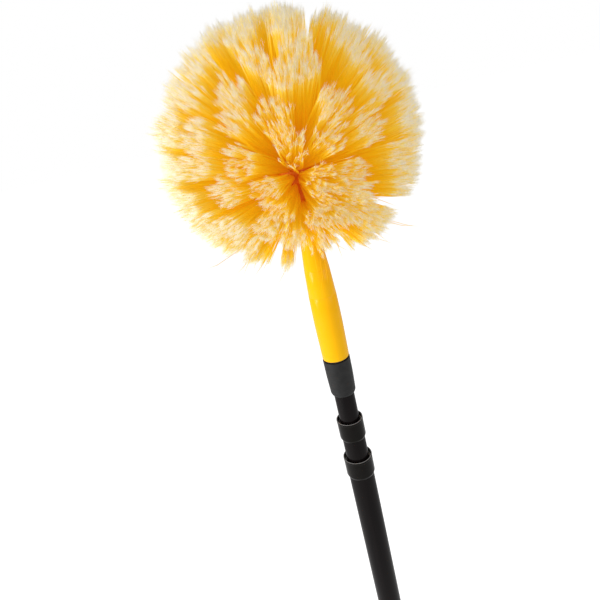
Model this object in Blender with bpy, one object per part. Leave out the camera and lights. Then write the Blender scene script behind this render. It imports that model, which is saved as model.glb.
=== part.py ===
"""A round cobweb brush on a three-section telescopic pole, as an assembly of separate pieces.

The pole's axis is +Z. The end cap stands on z = 0 and the brush head is at the top. All lengths are metres.
Each tube carries a cup-shaped collar at its upper end, and the next tube slides in it. The lower end of each
sliding tube holds a twist lock: a stud that turns with the tube, a cone that the stud's thread draws into a
split sleeve, and a clip that keeps them together. The head screws onto the threaded tip of the inner tube.
"""

import math

import bmesh
import bpy
from mathutils import Matrix, Vector

MM = 0.001

# Gaps between pieces
TOUCH = 0.3 * MM  # pieces that touch, or are pressed or glued together
RUNNING = 0.4 * MM  # pieces that turn or slide on each other

# Facets of round pieces
TUBE_SIDES = 36
SMALL_SIDES = 18
BEAD_SIDES = 6
TUFT_SIDES = 4
SHARP_ANGLE = math.radians(35)

# Tubes of the pole
OUTER_TUBE_RADIUS = 12.5 * MM
OUTER_TUBE_LENGTH = 520.0 * MM
TUBE_WALL = 0.8 * MM
TELESCOPE_GAP = 0.7 * MM  # between a tube and the bore it slides in
MIDDLE_EXPOSED = 23.2 * MM  # bare middle tube between the two collars
INNER_EXPOSED = 30.5 * MM  # bare inner tube between its collar and the ferrule
BOTTOM_CLEARANCE = 3.0 * MM  # under a twist lock when its tube is pushed right in
CLOSED_GAP = 0.5 * MM  # between collars when the pole is pushed right in

# Cup-shaped collars
COLLAR_WALL = 1.4 * MM
COLLAR_SKIRT = 15.0 * MM  # length over the tube
COLLAR_SHOULDER = 2.0 * MM  # ring on the tube's end that guides the next tube
COLLAR_CUP = 4.8 * MM  # open cup above the shoulder
COLLAR_LIP = 0.9 * MM
COLLAR_CHAMFER = 2.2 * MM
COLLAR_TOE = 0.4 * MM  # wall left at the foot of the chamfer

# End cap
CAP_HEIGHT = 30.0 * MM
CAP_FOOT_RADIUS = 13.0 * MM
CAP_RIM = 1.6 * MM  # how far the cap stands out past the tube
CAP_EDGE = 2.0 * MM
CAP_PLUG_LENGTH = 25.0 * MM
CAP_PLUG_WALL = 2.0 * MM
HANG_HOLE_RADIUS = 4.5 * MM
HANG_HOLE_HEIGHT = 14.0 * MM

# Grip sleeve
GRIP_LENGTH = 150.0 * MM
GRIP_WALL = 3.2 * MM
GRIP_GROOVES = 6
GRIP_GROOVE_DEPTH = 0.8 * MM
GRIP_GROOVE_WIDTH = 4.0 * MM
GRIP_LIFT = 0.6 * MM  # above the end cap

# Twist locks
STUD_RADIUS = 3.0 * MM
PLUG_LENGTH = 18.0 * MM
FLANGE_THICKNESS = 2.0 * MM
FLANGE_INSET = 0.2 * MM
SLEEVE_LENGTH = 26.0 * MM
SLEEVE_ROOF = 4.0 * MM
SLEEVE_WALL_FOOT = 1.4 * MM
SEAT_LEDGE = 1.9 * MM  # flat ring around the stud at the top of the conical seat
SLEEVE_SLIT = 2.0 * MM
CONE_LENGTH = 14.0 * MM
CONE_DROP = 1.0 * MM  # how far the cone stands out under the sleeve
CONE_RIB_WIDTH = 1.3 * MM
CONE_RIB_LENGTH = 8.0 * MM
CONE_TRAVEL = 1.2 * MM  # room under the cone for its own movement
CLIP_THICKNESS = 1.0 * MM
CLIP_WIDTH = 2.2 * MM
CLIP_GROOVE_DEPTH = 0.7 * MM
STUD_TAIL = 1.5 * MM

# Ferrule and threaded tip
FERRULE_LENGTH = 37.5 * MM
FERRULE_WALL = 2.6 * MM  # at its thinnest, around the wider of the tube and the thread
FERRULE_FIT = 0.325 * MM  # between the ferrule and the tube it is pressed on
FERRULE_TAPER = 0.7 * MM
FERRULE_CHAMFER = 2.0 * MM
FERRULE_TOE = 1.0 * MM
FERRULE_OVER_TUBE = 4.0 * MM  # how far the ferrule stands above the tube's end
THREAD_RADIUS = 9.525 * MM  # three-quarter inch handle thread
THREAD_LENGTH = 24.0 * MM  # above the ferrule
TIP_PLUG_LENGTH = 26.0 * MM
TIP_CHAMFER = 1.5 * MM

# Washer and socket
WASHER_THICKNESS = 1.0 * MM
WASHER_INSET = 1.3 * MM
SOCKET_LENGTH = 137.0 * MM
SOCKET_FOOT_INSET = 0.1 * MM
SOCKET_BARREL_BULGE = 0.2 * MM
SOCKET_BARREL = 62.0 * MM  # straight part over the thread
SOCKET_NECK_RADIUS = 8.4 * MM
SOCKET_NECK = 120.0 * MM  # height at which the taper ends
SOCKET_THREAD_DEPTH = 30.0 * MM
SOCKET_WALL = 3.2 * MM
SOCKET_EDGE = 0.8 * MM

# Hub and cross pin
HUB_RADIUS = 13.0 * MM
HUB_LENGTH = 70.0 * MM
HUB_FOOT_RADIUS = 8.4 * MM
HUB_FOOT_HEIGHT = 3.5 * MM
DOME_STEPS = 6
SPIGOT_RADIUS = 5.2 * MM
SPIGOT_LENGTH = 28.0 * MM
PIN_RADIUS = 1.5 * MM
PIN_DEPTH = 13.0 * MM  # below the hub's foot
PIN_INSET = 0.4 * MM

# Brush head, trimmed to a slightly flattened ball
TRIM_RADIUS = 103.0 * MM
TRIM_HALF_HEIGHT = 97.0 * MM
HUB_NOSE_ABOVE_CENTRE = 12.0 * MM
TUFT_ROWS = 12
LAST_ROW_ANGLE = math.radians(150)
TUFT_PITCH = 34.0 * MM
TUFT_ROOT_RADIUS = 1.4 * MM
TUFT_TIP_RADIUS = 6.0 * MM
BEAD_RADIUS = 1.9 * MM
HUB_FOOT_TO_LAST_ROW = 6.0 * MM

# Sizes that follow
MIDDLE_TUBE_RADIUS = OUTER_TUBE_RADIUS - TUBE_WALL - TELESCOPE_GAP
INNER_TUBE_RADIUS = MIDDLE_TUBE_RADIUS - TUBE_WALL - TELESCOPE_GAP
COLLAR_HEIGHT = COLLAR_SKIRT + COLLAR_SHOULDER + COLLAR_CUP + TOUCH
COLLAR_ABOVE_TUBE = COLLAR_HEIGHT - COLLAR_SKIRT
FERRULE_BORE_RADIUS = INNER_TUBE_RADIUS + FERRULE_FIT
FERRULE_MOUTH_RADIUS = THREAD_RADIUS + TOUCH
FERRULE_RADIUS = max(FERRULE_BORE_RADIUS, FERRULE_MOUTH_RADIUS) + FERRULE_WALL
SOCKET_BARREL_RADIUS = FERRULE_RADIUS + SOCKET_BARREL_BULGE
CONE_FOOT_BELOW = TOUCH + FLANGE_THICKNESS + RUNNING + SLEEVE_LENGTH + CONE_DROP
CLIP_FOOT_BELOW = CONE_FOOT_BELOW + CONE_TRAVEL + RUNNING + CLIP_THICKNESS
LOCK_DEPTH = CLIP_FOOT_BELOW + TOUCH + STUD_TAIL

# Heights above the floor
CAP_PLUG_TOP = CAP_HEIGHT + CAP_PLUG_LENGTH
OUTER_TUBE_FOOT = CAP_HEIGHT + TOUCH
OUTER_TUBE_TOP = OUTER_TUBE_FOOT + OUTER_TUBE_LENGTH
OUTER_RIM = OUTER_TUBE_TOP + COLLAR_ABOVE_TUBE
MIDDLE_TUBE_TOP = OUTER_RIM + MIDDLE_EXPOSED + COLLAR_SKIRT
MIDDLE_RIM = MIDDLE_TUBE_TOP + COLLAR_ABOVE_TUBE
MIDDLE_TUBE_FOOT = CAP_PLUG_TOP + BOTTOM_CLEARANCE + MIDDLE_EXPOSED - CLOSED_GAP + LOCK_DEPTH
FERRULE_FOOT = MIDDLE_RIM + INNER_EXPOSED
FERRULE_TOP = FERRULE_FOOT + FERRULE_LENGTH
INNER_TUBE_TOP = FERRULE_TOP - FERRULE_OVER_TUBE
INNER_TUBE_FOOT = (
    MIDDLE_TUBE_FOOT + PLUG_LENGTH + BOTTOM_CLEARANCE + INNER_EXPOSED - CLOSED_GAP + LOCK_DEPTH
)
WASHER_FOOT = FERRULE_TOP + TOUCH
SOCKET_FOOT = WASHER_FOOT + WASHER_THICKNESS + TOUCH
HUB_FOOT = SOCKET_FOOT + SOCKET_LENGTH + TOUCH
HEAD_CENTRE = HUB_FOOT + HUB_LENGTH - HUB_NOSE_ABOVE_CENTRE


def clear_scene():
    for obj in list(bpy.data.objects):
        bpy.data.objects.remove(obj)


def make_material(name, colour, roughness, metallic=0.0):
    material = bpy.data.materials.new(name)
    material.use_nodes = True
    shader = material.node_tree.nodes["Principled BSDF"]
    shader.inputs["Base Color"].default_value = (*colour, 1.0)
    shader.inputs["Roughness"].default_value = roughness
    shader.inputs["Metallic"].default_value = metallic
    material.diffuse_color = (*colour, 1.0)
    return material


def make_section(name, height, parent=None):
    """An empty on the pole's axis, which carries the pieces that move together."""
    section = bpy.data.objects.new(name, None)
    section.empty_display_size = 20.0 * MM
    bpy.context.scene.collection.objects.link(section)
    section.parent = parent
    section.location.z = height - height_of(parent)
    return section


def height_of(obj):
    """World height of an object that stands on the axis, found through its parents."""
    height = 0.0
    while obj:
        height += obj.location.z
        obj = obj.parent
    return height


def add_piece(name, bm, material, section, height):
    """Turns a bmesh into a named object whose origin is on the axis at the given height."""
    bmesh.ops.recalc_face_normals(bm, faces=bm.faces)
    mesh = bpy.data.meshes.new(name)
    bm.to_mesh(mesh)
    bm.free()
    mesh.materials.append(material)
    mesh.shade_smooth()
    mesh.set_sharp_from_angle(angle=SHARP_ANGLE)
    obj = bpy.data.objects.new(name, mesh)
    bpy.context.scene.collection.objects.link(obj)
    obj.parent = section
    obj.location.z = height - height_of(section)
    return obj


def turn(outline, sides):
    """Spins an outline of (radius, height) points about Z, closed into a ring unless both ends are on it."""
    bm = bmesh.new()
    points = [bm.verts.new((radius, 0.0, height)) for radius, height in outline]
    edges = [bm.edges.new(pair) for pair in zip(points, points[1:])]
    on_axis = outline[0][0] == 0.0 and outline[-1][0] == 0.0
    if not on_axis:
        edges.append(bm.edges.new((points[-1], points[0])))
    bmesh.ops.spin(
        bm,
        geom=points + edges,
        cent=(0.0, 0.0, 0.0),
        axis=(0.0, 0.0, 1.0),
        angle=math.tau,
        steps=sides,
        use_merge=True,
    )
    bmesh.ops.remove_doubles(bm, verts=bm.verts, dist=0.001 * MM)
    return bm


def box(size, centre=(0.0, 0.0, 0.0)):
    bm = bmesh.new()
    bmesh.ops.create_cube(bm, size=1.0, matrix=Matrix.Translation(centre) @ Matrix.Diagonal((*size, 1.0)))
    return bm


def rod(radius, length, height, along, sides):
    """A solid rod across the pole's axis, at a height, along X or Y."""
    bm = bmesh.new()
    quarter = Matrix.Rotation(math.pi / 2, 4, "Y" if along == "X" else "X")
    bmesh.ops.create_cone(
        bm,
        cap_ends=True,
        segments=sides,
        radius1=radius,
        radius2=radius,
        depth=length,
        matrix=Matrix.Translation((0.0, 0.0, height)) @ quarter,
    )
    return bm


def combine(obj, name, bm, operation):
    """Cuts or joins a hidden tool, made in the object's own coordinates, with an exact Boolean."""
    tool = add_piece(f"{obj.name}_{name}", bm, obj.data.materials[0], obj, height_of(obj))
    tool.hide_render = True
    tool.display_type = "WIRE"
    modifier = obj.modifiers.new(name, "BOOLEAN")
    modifier.operation = operation
    modifier.object = tool


def tube_outline(radius, length):
    bore = radius - TUBE_WALL
    return [(bore, 0.0), (radius, 0.0), (radius, length), (bore, length)]


def add_collar(name, tube_radius, guided_radius, tube_top, material, section):
    """A cup over the tube's end. Its shoulder guides the next tube, and its open mouth is wider."""
    skirt = tube_radius + TOUCH
    outside = skirt + COLLAR_WALL
    guide = guided_radius + RUNNING
    mouth = outside - COLLAR_LIP
    edge = COLLAR_LIP / 3
    floor = TOUCH + COLLAR_SHOULDER
    outline = [
        (skirt, -COLLAR_SKIRT),
        (skirt + COLLAR_TOE, -COLLAR_SKIRT),
        (outside, COLLAR_CHAMFER - COLLAR_SKIRT),
        (outside, COLLAR_ABOVE_TUBE - edge),
        (outside - edge, COLLAR_ABOVE_TUBE),
        (mouth, COLLAR_ABOVE_TUBE),
        (mouth, floor),
        (guide, floor),
        (guide, TOUCH),
        (skirt, TOUCH),
    ]
    return add_piece(name, turn(outline, TUBE_SIDES), material, section, tube_top)


def add_end_cap(material, section):
    rim = OUTER_TUBE_RADIUS + CAP_RIM
    plug = OUTER_TUBE_RADIUS - TUBE_WALL - TOUCH
    hollow = plug - CAP_PLUG_WALL
    outline = [
        (0.0, 0.0),
        (CAP_FOOT_RADIUS - CAP_EDGE, 0.0),
        (CAP_FOOT_RADIUS, CAP_EDGE),
        (rim, CAP_HEIGHT - 2 * CAP_EDGE),
        (rim, CAP_HEIGHT),
        (plug, CAP_HEIGHT),
        (plug, CAP_PLUG_TOP),
        (hollow, CAP_PLUG_TOP),
        (hollow, CAP_HEIGHT),
        (0.0, CAP_HEIGHT),
    ]
    cap = add_piece("end_cap", turn(outline, TUBE_SIDES), material, section, 0.0)
    hole = rod(HANG_HOLE_RADIUS, 4 * rim, HANG_HOLE_HEIGHT, "X", SMALL_SIDES)
    combine(cap, "hang_hole", hole, "DIFFERENCE")


def add_grip(material, section):
    """A sleeve with shallow grooves at equal steps."""
    bore = OUTER_TUBE_RADIUS + TOUCH
    outside = bore + GRIP_WALL
    step = GRIP_LENGTH / (GRIP_GROOVES + 1)
    half = GRIP_GROOVE_WIDTH / 2
    outline = [(bore, 0.0), (outside - GRIP_GROOVE_DEPTH, 0.0), (outside, GRIP_GROOVE_WIDTH)]
    for groove in range(GRIP_GROOVES):
        middle = (groove + 1) * step
        outline.append((outside, middle - half))
        outline.append((outside - GRIP_GROOVE_DEPTH, middle))
        outline.append((outside, middle + half))
    outline.append((outside, GRIP_LENGTH - GRIP_GROOVE_WIDTH))
    outline.append((outside - GRIP_GROOVE_DEPTH, GRIP_LENGTH))
    outline.append((bore, GRIP_LENGTH))
    add_piece("hand_grip", turn(outline, SMALL_SIDES), material, section, CAP_HEIGHT + GRIP_LIFT)


def add_lock(stage, tube_radius, foot, materials, lock_section, cone_section, tube_section):
    """The twist lock at the foot of a sliding tube. Heights in it are below the tube's foot."""
    sleeve_radius = tube_radius + TELESCOPE_GAP - TOUCH
    sleeve_top = -(TOUCH + FLANGE_THICKNESS + RUNNING)
    sleeve_foot = sleeve_top - SLEEVE_LENGTH
    seat_top = sleeve_top - SLEEVE_ROOF
    cone_foot = -CONE_FOOT_BELOW
    cone_top = cone_foot + CONE_LENGTH
    bore = STUD_RADIUS + RUNNING

    def seat(height):
        """Inner radius of the sleeve's conical seat."""
        share = (height - sleeve_foot) / (seat_top - sleeve_foot)
        widest = sleeve_radius - SLEEVE_WALL_FOOT
        return widest + (bore + SEAT_LEDGE - widest) * share

    plug = tube_radius - TUBE_WALL - TOUCH
    flange = tube_radius - FLANGE_INSET
    clip_foot = -CLIP_FOOT_BELOW
    groove_top = clip_foot + CLIP_THICKNESS + TOUCH
    neck = STUD_RADIUS - CLIP_GROOVE_DEPTH
    stud = [
        (0.0, -LOCK_DEPTH),
        (STUD_RADIUS, -LOCK_DEPTH),
        (STUD_RADIUS, clip_foot - TOUCH),
        (neck, clip_foot - TOUCH),
        (neck, groove_top),
        (STUD_RADIUS, groove_top),
        (STUD_RADIUS, -(TOUCH + FLANGE_THICKNESS)),
        (flange, -(TOUCH + FLANGE_THICKNESS)),
        (flange, -TOUCH),
        (plug, -TOUCH),
        (plug, PLUG_LENGTH),
        (0.0, PLUG_LENGTH),
    ]
    add_piece(f"{stage}_lock_stud", turn(stud, SMALL_SIDES), materials["black"], tube_section, foot)

    clip_bore = neck + TOUCH
    clip_top = clip_foot + CLIP_THICKNESS
    clip_rim = clip_bore + CLIP_WIDTH
    clip = [(clip_bore, clip_foot), (clip_rim, clip_foot), (clip_rim, clip_top), (clip_bore, clip_top)]
    add_piece(f"{stage}_lock_clip", turn(clip, SMALL_SIDES), materials["steel"], tube_section, foot)

    sleeve = [
        (seat(sleeve_foot), sleeve_foot),
        (sleeve_radius, sleeve_foot),
        (sleeve_radius, sleeve_top),
        (bore, sleeve_top),
        (bore, seat_top),
        (seat(seat_top), seat_top),
    ]
    sleeve_piece = add_piece(
        f"{stage}_lock_sleeve", turn(sleeve, SMALL_SIDES), materials["nylon"], lock_section, foot
    )
    slit_height = seat_top - sleeve_foot
    slit = box((4 * sleeve_radius, SLEEVE_SLIT, 2 * slit_height), (0.0, 0.0, sleeve_foot))
    combine(sleeve_piece, "slit", slit, "DIFFERENCE")

    foot_radius = seat(sleeve_foot) - RUNNING
    cone = [
        (0.0, cone_foot),
        (foot_radius, cone_foot),
        (foot_radius, sleeve_foot),
        (seat(cone_top) - RUNNING, cone_top),
        (0.0, cone_top),
    ]
    cone_piece = add_piece(
        f"{stage}_lock_cone", turn(cone, SMALL_SIDES), materials["brass"], cone_section, foot
    )
    rib_centre = sleeve_foot + CONE_RIB_LENGTH / 2
    rib = box((2 * (sleeve_radius - TOUCH), CONE_RIB_WIDTH, CONE_RIB_LENGTH), (0.0, 0.0, rib_centre))
    combine(cone_piece, "rib", rib, "UNION")
    drill = turn([(0.0, cone_foot - bore), (bore, cone_foot - bore), (bore, 0.0), (0.0, 0.0)], SMALL_SIDES)
    combine(cone_piece, "drill", drill, "DIFFERENCE")


def add_ferrule(material, section):
    """A sleeve on the tube's end. Its bore fits the tube, and its mouth fits the thread."""
    foot = FERRULE_RADIUS - FERRULE_TAPER
    edge = COLLAR_LIP / 3
    step = FERRULE_LENGTH - FERRULE_OVER_TUBE
    if FERRULE_MOUTH_RADIUS < FERRULE_BORE_RADIUS:
        step += 2 * TOUCH  # clear of the tube's end and of the plug in it
    outline = [
        (FERRULE_BORE_RADIUS, 0.0),
        (FERRULE_BORE_RADIUS + FERRULE_TOE, 0.0),
        (foot, FERRULE_CHAMFER),
        (FERRULE_RADIUS, FERRULE_LENGTH / 2),
        (FERRULE_RADIUS, FERRULE_LENGTH - edge),
        (FERRULE_RADIUS - edge, FERRULE_LENGTH),
        (FERRULE_MOUTH_RADIUS, FERRULE_LENGTH),
        (FERRULE_MOUTH_RADIUS, step),
        (FERRULE_BORE_RADIUS, step),
    ]
    add_piece("tip_ferrule", turn(outline, TUBE_SIDES), material, section, FERRULE_FOOT)


def add_threaded_tip(material, section):
    """The plug in the inner tube and the male thread above it, drawn at the thread's outer diameter."""
    plug = INNER_TUBE_RADIUS - TUBE_WALL - TOUCH
    top = FERRULE_OVER_TUBE + THREAD_LENGTH
    outline = [
        (0.0, -TIP_PLUG_LENGTH),
        (plug - TIP_CHAMFER, -TIP_PLUG_LENGTH),
        (plug, TIP_CHAMFER - TIP_PLUG_LENGTH),
        (plug, TOUCH),
        (THREAD_RADIUS, TOUCH),
        (THREAD_RADIUS, top - TIP_CHAMFER),
        (THREAD_RADIUS - TIP_CHAMFER, top),
        (0.0, top),
    ]
    add_piece("threaded_tip", turn(outline, TUBE_SIDES), material, section, INNER_TUBE_TOP)


def add_washer(material, section):
    bore = THREAD_RADIUS + RUNNING
    rim = FERRULE_RADIUS - WASHER_INSET
    outline = [(bore, 0.0), (rim, 0.0), (rim, WASHER_THICKNESS), (bore, WASHER_THICKNESS)]
    add_piece("seat_washer", turn(outline, TUBE_SIDES), material, section, WASHER_FOOT)


def add_socket(material, section):
    """A barrel over the thread, then a taper to a slim neck that goes into the bristles."""
    foot = SOCKET_BARREL_RADIUS - SOCKET_FOOT_INSET
    thread = THREAD_RADIUS + RUNNING
    bore = SOCKET_BARREL_RADIUS - SOCKET_WALL
    neck_bore = SPIGOT_RADIUS + TOUCH
    narrow = SOCKET_LENGTH - SPIGOT_LENGTH - TOUCH
    outline = [
        (thread, 0.0),
        (foot - SOCKET_EDGE, 0.0),
        (foot, SOCKET_EDGE),
        (SOCKET_BARREL_RADIUS, SOCKET_BARREL / 2),
        (SOCKET_BARREL_RADIUS - SOCKET_BARREL_BULGE, SOCKET_BARREL),
        (SOCKET_NECK_RADIUS, SOCKET_NECK),
        (SOCKET_NECK_RADIUS, SOCKET_LENGTH - SOCKET_EDGE),
        (SOCKET_NECK_RADIUS - SOCKET_EDGE, SOCKET_LENGTH),
        (neck_bore, SOCKET_LENGTH),
        (neck_bore, narrow),
        (bore, SOCKET_BARREL),
        (bore, SOCKET_THREAD_DEPTH + (thread - bore)),
        (thread, SOCKET_THREAD_DEPTH),
    ]
    socket = add_piece("head_socket", turn(outline, TUBE_SIDES), material, section, SOCKET_FOOT)
    pin_height = HUB_FOOT - PIN_DEPTH - SOCKET_FOOT
    hole = rod(PIN_RADIUS + TOUCH, 4 * SOCKET_NECK_RADIUS, pin_height, "Y", SMALL_SIDES)
    combine(socket, "pin_hole", hole, "DIFFERENCE")


def add_hub(material, pin_material, section):
    """The block that the tufts are set in: a spigot, a cylinder and a round nose."""
    dome = HUB_LENGTH - HUB_RADIUS
    outline = [
        (0.0, -SPIGOT_LENGTH),
        (SPIGOT_RADIUS, -SPIGOT_LENGTH),
        (SPIGOT_RADIUS, 0.0),
        (HUB_FOOT_RADIUS, 0.0),
        (HUB_RADIUS, HUB_FOOT_HEIGHT),
    ]
    for step in range(DOME_STEPS):
        angle = math.pi / 2 * step / DOME_STEPS
        outline.append((HUB_RADIUS * math.cos(angle), dome + HUB_RADIUS * math.sin(angle)))
    outline.append((0.0, HUB_LENGTH))
    hub = add_piece("hub_core", turn(outline, SMALL_SIDES), material, section, HUB_FOOT)
    hole = rod(PIN_RADIUS + TOUCH, 4 * SPIGOT_RADIUS, -PIN_DEPTH, "Y", SMALL_SIDES)
    combine(hub, "pin_hole", hole, "DIFFERENCE")
    pin = rod(PIN_RADIUS, 2 * (SOCKET_NECK_RADIUS - PIN_INSET), -PIN_DEPTH, "Y", SMALL_SIDES // 2)
    add_piece("hub_pin", pin, pin_material, section, HUB_FOOT)


def bead_centre(distance):
    """Radius and height, from the head's centre, of a point this far from the nose along the hub."""
    offset = HUB_RADIUS + TOUCH + BEAD_RADIUS
    dome = HUB_NOSE_ABOVE_CENTRE - HUB_RADIUS
    quarter = offset * math.pi / 2
    if distance <= quarter:
        angle = distance / offset
        return offset * math.sin(angle), dome + offset * math.cos(angle)
    return offset, dome - (distance - quarter)


def bead_outline(radius, height):
    """Section of the bead that ties a row's roots together, or half of it where it meets the axis."""
    angles = [math.tau * (side + 0.5) / BEAD_SIDES - math.pi / 2 for side in range(BEAD_SIDES)]
    if radius > BEAD_RADIUS:
        return [(radius + BEAD_RADIUS * math.cos(a), height + BEAD_RADIUS * math.sin(a)) for a in angles]
    side = BEAD_RADIUS * math.cos(math.pi / BEAD_SIDES)
    half = BEAD_RADIUS / 2
    foot = height - side
    top = height + side
    return [(0.0, foot), (half, foot), (BEAD_RADIUS, height), (half, top), (0.0, top)]


def add_tuft(bm, root, tip):
    """A straight tuft that widens from its root to its flat trimmed tip."""
    along = tip - root
    turned = Vector((0.0, 0.0, 1.0)).rotation_difference(along).to_matrix().to_4x4()
    bmesh.ops.create_cone(
        bm,
        cap_ends=True,
        segments=TUFT_SIDES,
        radius1=TUFT_ROOT_RADIUS,
        radius2=TUFT_TIP_RADIUS,
        depth=along.length,
        matrix=Matrix.Translation((root + tip) / 2) @ turned,
    )


def add_tuft_rows(material, section):
    """Rings of tufts from the nose to the back of the hub. Their tips lie on the trimmed ball."""
    offset = HUB_RADIUS + TOUCH + BEAD_RADIUS
    straight = HUB_LENGTH - HUB_RADIUS - HUB_FOOT_TO_LAST_ROW
    path = offset * math.pi / 2 + straight
    for row in range(TUFT_ROWS):
        share = row / (TUFT_ROWS - 1)
        radius, height = bead_centre(share * path)
        angle = share * LAST_ROW_ANGLE
        tip_radius = TRIM_RADIUS * math.sin(angle)
        tip_height = TRIM_HALF_HEIGHT * math.cos(angle)
        count = max(1, round(math.tau * tip_radius / TUFT_PITCH))
        bead = turn(bead_outline(radius, height), SMALL_SIDES)
        piece = add_piece(f"tuft_row_{row + 1:02d}", bead, material, section, HEAD_CENTRE)
        tufts = bmesh.new()
        for index in range(count):
            around = Matrix.Rotation(math.tau * (index + 0.5 * (row % 2)) / count, 3, "Z")
            root = around @ Vector((radius, 0.0, height))
            tip = around @ Vector((tip_radius, 0.0, tip_height))
            add_tuft(tufts, root, tip)
        combine(piece, "tufts", tufts, "UNION")


def build():
    clear_scene()
    materials = {
        "black": make_material("black_gloss_plastic", (0.012, 0.012, 0.013), 0.25),
        "tube": make_material("black_painted_tube", (0.010, 0.010, 0.011), 0.22),
        "grip": make_material("grip_rubber", (0.020, 0.020, 0.021), 0.70),
        "grey": make_material("charcoal_plastic", (0.030, 0.033, 0.034), 0.55),
        "yellow": make_material("yellow_gloss_plastic", (1.000, 0.560, 0.010), 0.22),
        "orange": make_material("orange_plastic", (0.900, 0.300, 0.010), 0.40),
        "bristle": make_material("yellow_bristle", (1.000, 0.520, 0.030), 0.60),
        "nylon": make_material("white_nylon", (0.750, 0.740, 0.700), 0.45),
        "brass": make_material("brass", (0.700, 0.500, 0.200), 0.30, 1.0),
        "steel": make_material("steel", (0.550, 0.550, 0.560), 0.30, 1.0),
        "rubber": make_material("black_rubber", (0.015, 0.015, 0.015), 0.80),
    }
    handle = make_section("handle_section", OUTER_TUBE_FOOT)
    middle_lock = make_section("middle_lock_section", MIDDLE_TUBE_FOOT, handle)
    middle_cone = make_section("middle_cone_section", MIDDLE_TUBE_FOOT, middle_lock)
    middle = make_section("middle_section", MIDDLE_TUBE_FOOT, middle_lock)
    inner_lock = make_section("inner_lock_section", INNER_TUBE_FOOT, middle)
    inner_cone = make_section("inner_cone_section", INNER_TUBE_FOOT, inner_lock)
    inner = make_section("inner_section", INNER_TUBE_FOOT, inner_lock)
    washer = make_section("washer_section", WASHER_FOOT, inner)
    head = make_section("head_section", SOCKET_FOOT, washer)

    add_end_cap(materials["black"], handle)
    add_grip(materials["grip"], handle)
    outer_tube = turn(tube_outline(OUTER_TUBE_RADIUS, OUTER_TUBE_LENGTH), TUBE_SIDES)
    add_piece("outer_tube", outer_tube, materials["tube"], handle, OUTER_TUBE_FOOT)
    add_collar(
        "outer_collar", OUTER_TUBE_RADIUS, MIDDLE_TUBE_RADIUS, OUTER_TUBE_TOP, materials["black"], handle
    )

    middle_tube = turn(tube_outline(MIDDLE_TUBE_RADIUS, MIDDLE_TUBE_TOP - MIDDLE_TUBE_FOOT), TUBE_SIDES)
    add_piece("middle_tube", middle_tube, materials["tube"], middle, MIDDLE_TUBE_FOOT)
    add_collar(
        "middle_collar", MIDDLE_TUBE_RADIUS, INNER_TUBE_RADIUS, MIDDLE_TUBE_TOP, materials["black"], middle
    )
    add_lock("middle", MIDDLE_TUBE_RADIUS, MIDDLE_TUBE_FOOT, materials, middle_lock, middle_cone, middle)

    inner_tube = turn(tube_outline(INNER_TUBE_RADIUS, INNER_TUBE_TOP - INNER_TUBE_FOOT), TUBE_SIDES)
    add_piece("inner_tube", inner_tube, materials["tube"], inner, INNER_TUBE_FOOT)
    add_lock("inner", INNER_TUBE_RADIUS, INNER_TUBE_FOOT, materials, inner_lock, inner_cone, inner)
    add_ferrule(materials["grey"], inner)
    add_threaded_tip(materials["grey"], inner)

    add_washer(materials["rubber"], washer)
    add_socket(materials["yellow"], head)
    add_hub(materials["orange"], materials["steel"], head)
    add_tuft_rows(materials["bristle"], head)


build()
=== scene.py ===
"""Looks of the round cobweb brush on its telescopic pole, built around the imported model.

All lengths are metres.
"""

import math

import bpy
import numpy as np
from mathutils import Matrix, Vector


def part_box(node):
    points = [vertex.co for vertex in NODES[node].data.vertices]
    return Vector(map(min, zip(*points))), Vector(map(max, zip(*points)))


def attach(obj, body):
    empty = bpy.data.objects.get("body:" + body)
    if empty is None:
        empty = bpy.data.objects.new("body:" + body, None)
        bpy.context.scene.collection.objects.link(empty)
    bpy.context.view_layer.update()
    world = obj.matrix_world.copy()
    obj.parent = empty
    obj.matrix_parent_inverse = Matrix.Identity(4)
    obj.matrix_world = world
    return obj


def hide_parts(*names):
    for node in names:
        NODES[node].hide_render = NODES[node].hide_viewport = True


MM = 0.001

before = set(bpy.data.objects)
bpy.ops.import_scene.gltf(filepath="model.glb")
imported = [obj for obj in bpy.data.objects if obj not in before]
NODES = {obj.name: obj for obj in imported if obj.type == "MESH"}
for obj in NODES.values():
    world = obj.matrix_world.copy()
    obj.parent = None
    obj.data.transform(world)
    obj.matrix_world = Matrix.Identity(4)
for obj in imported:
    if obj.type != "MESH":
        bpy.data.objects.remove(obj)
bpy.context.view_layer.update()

ROUND_SIDES = 96
CORNER_STEPS = 3
CORNER_SHARE = 0.45  # the most of an outline's side that one rounded corner takes
SMOOTH_ANGLE = math.radians(32)

# Clearances between pieces that touch and pieces that turn or slide on each other
TOUCH = 0.3 * MM
RUNNING = 0.4 * MM

# Pole
TUBE_WALL = 0.8 * MM
PLUG_INSET = TUBE_WALL + TOUCH  # from a tube's outside to a plug in its bore
COLLAR_WALL = 1.4 * MM
COLLAR_SHOULDER_HEIGHT = 15.3 * MM
COLLAR_SHOULDER = 2.0 * MM
COLLAR_LIP = 0.9 * MM
COLLAR_INSET = 0.15 * MM  # of the collar's side behind its rim
THREAD_PITCH = 5.08 * MM
THREAD_DEPTH = 1.5 * MM
THREAD_START_BELOW = 23.5 * MM  # height of the threaded length, from the tip's top
THREAD_END_BELOW = 1.6 * MM
THREAD_RUN_OUT = 0.2 * MM
THREAD_TOP_CHAMFER = 1.3 * MM
THREAD_STEPS = 16  # levels in one turn
THREAD_SLOPE = 2.6  # steepness of the flanks
THREAD_ROOT = 0.55  # how much of the slope lies below the root
TIP_CHAMFER = 1.5 * MM
FERRULE_TOE = 1.0 * MM
FERRULE_TAPER = 0.75 * MM
FERRULE_CHAMFER = 2.0 * MM
FERRULE_BULGE_HEIGHT = 19.0 * MM
FERRULE_BULGE_INSET = 0.1 * MM
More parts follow.
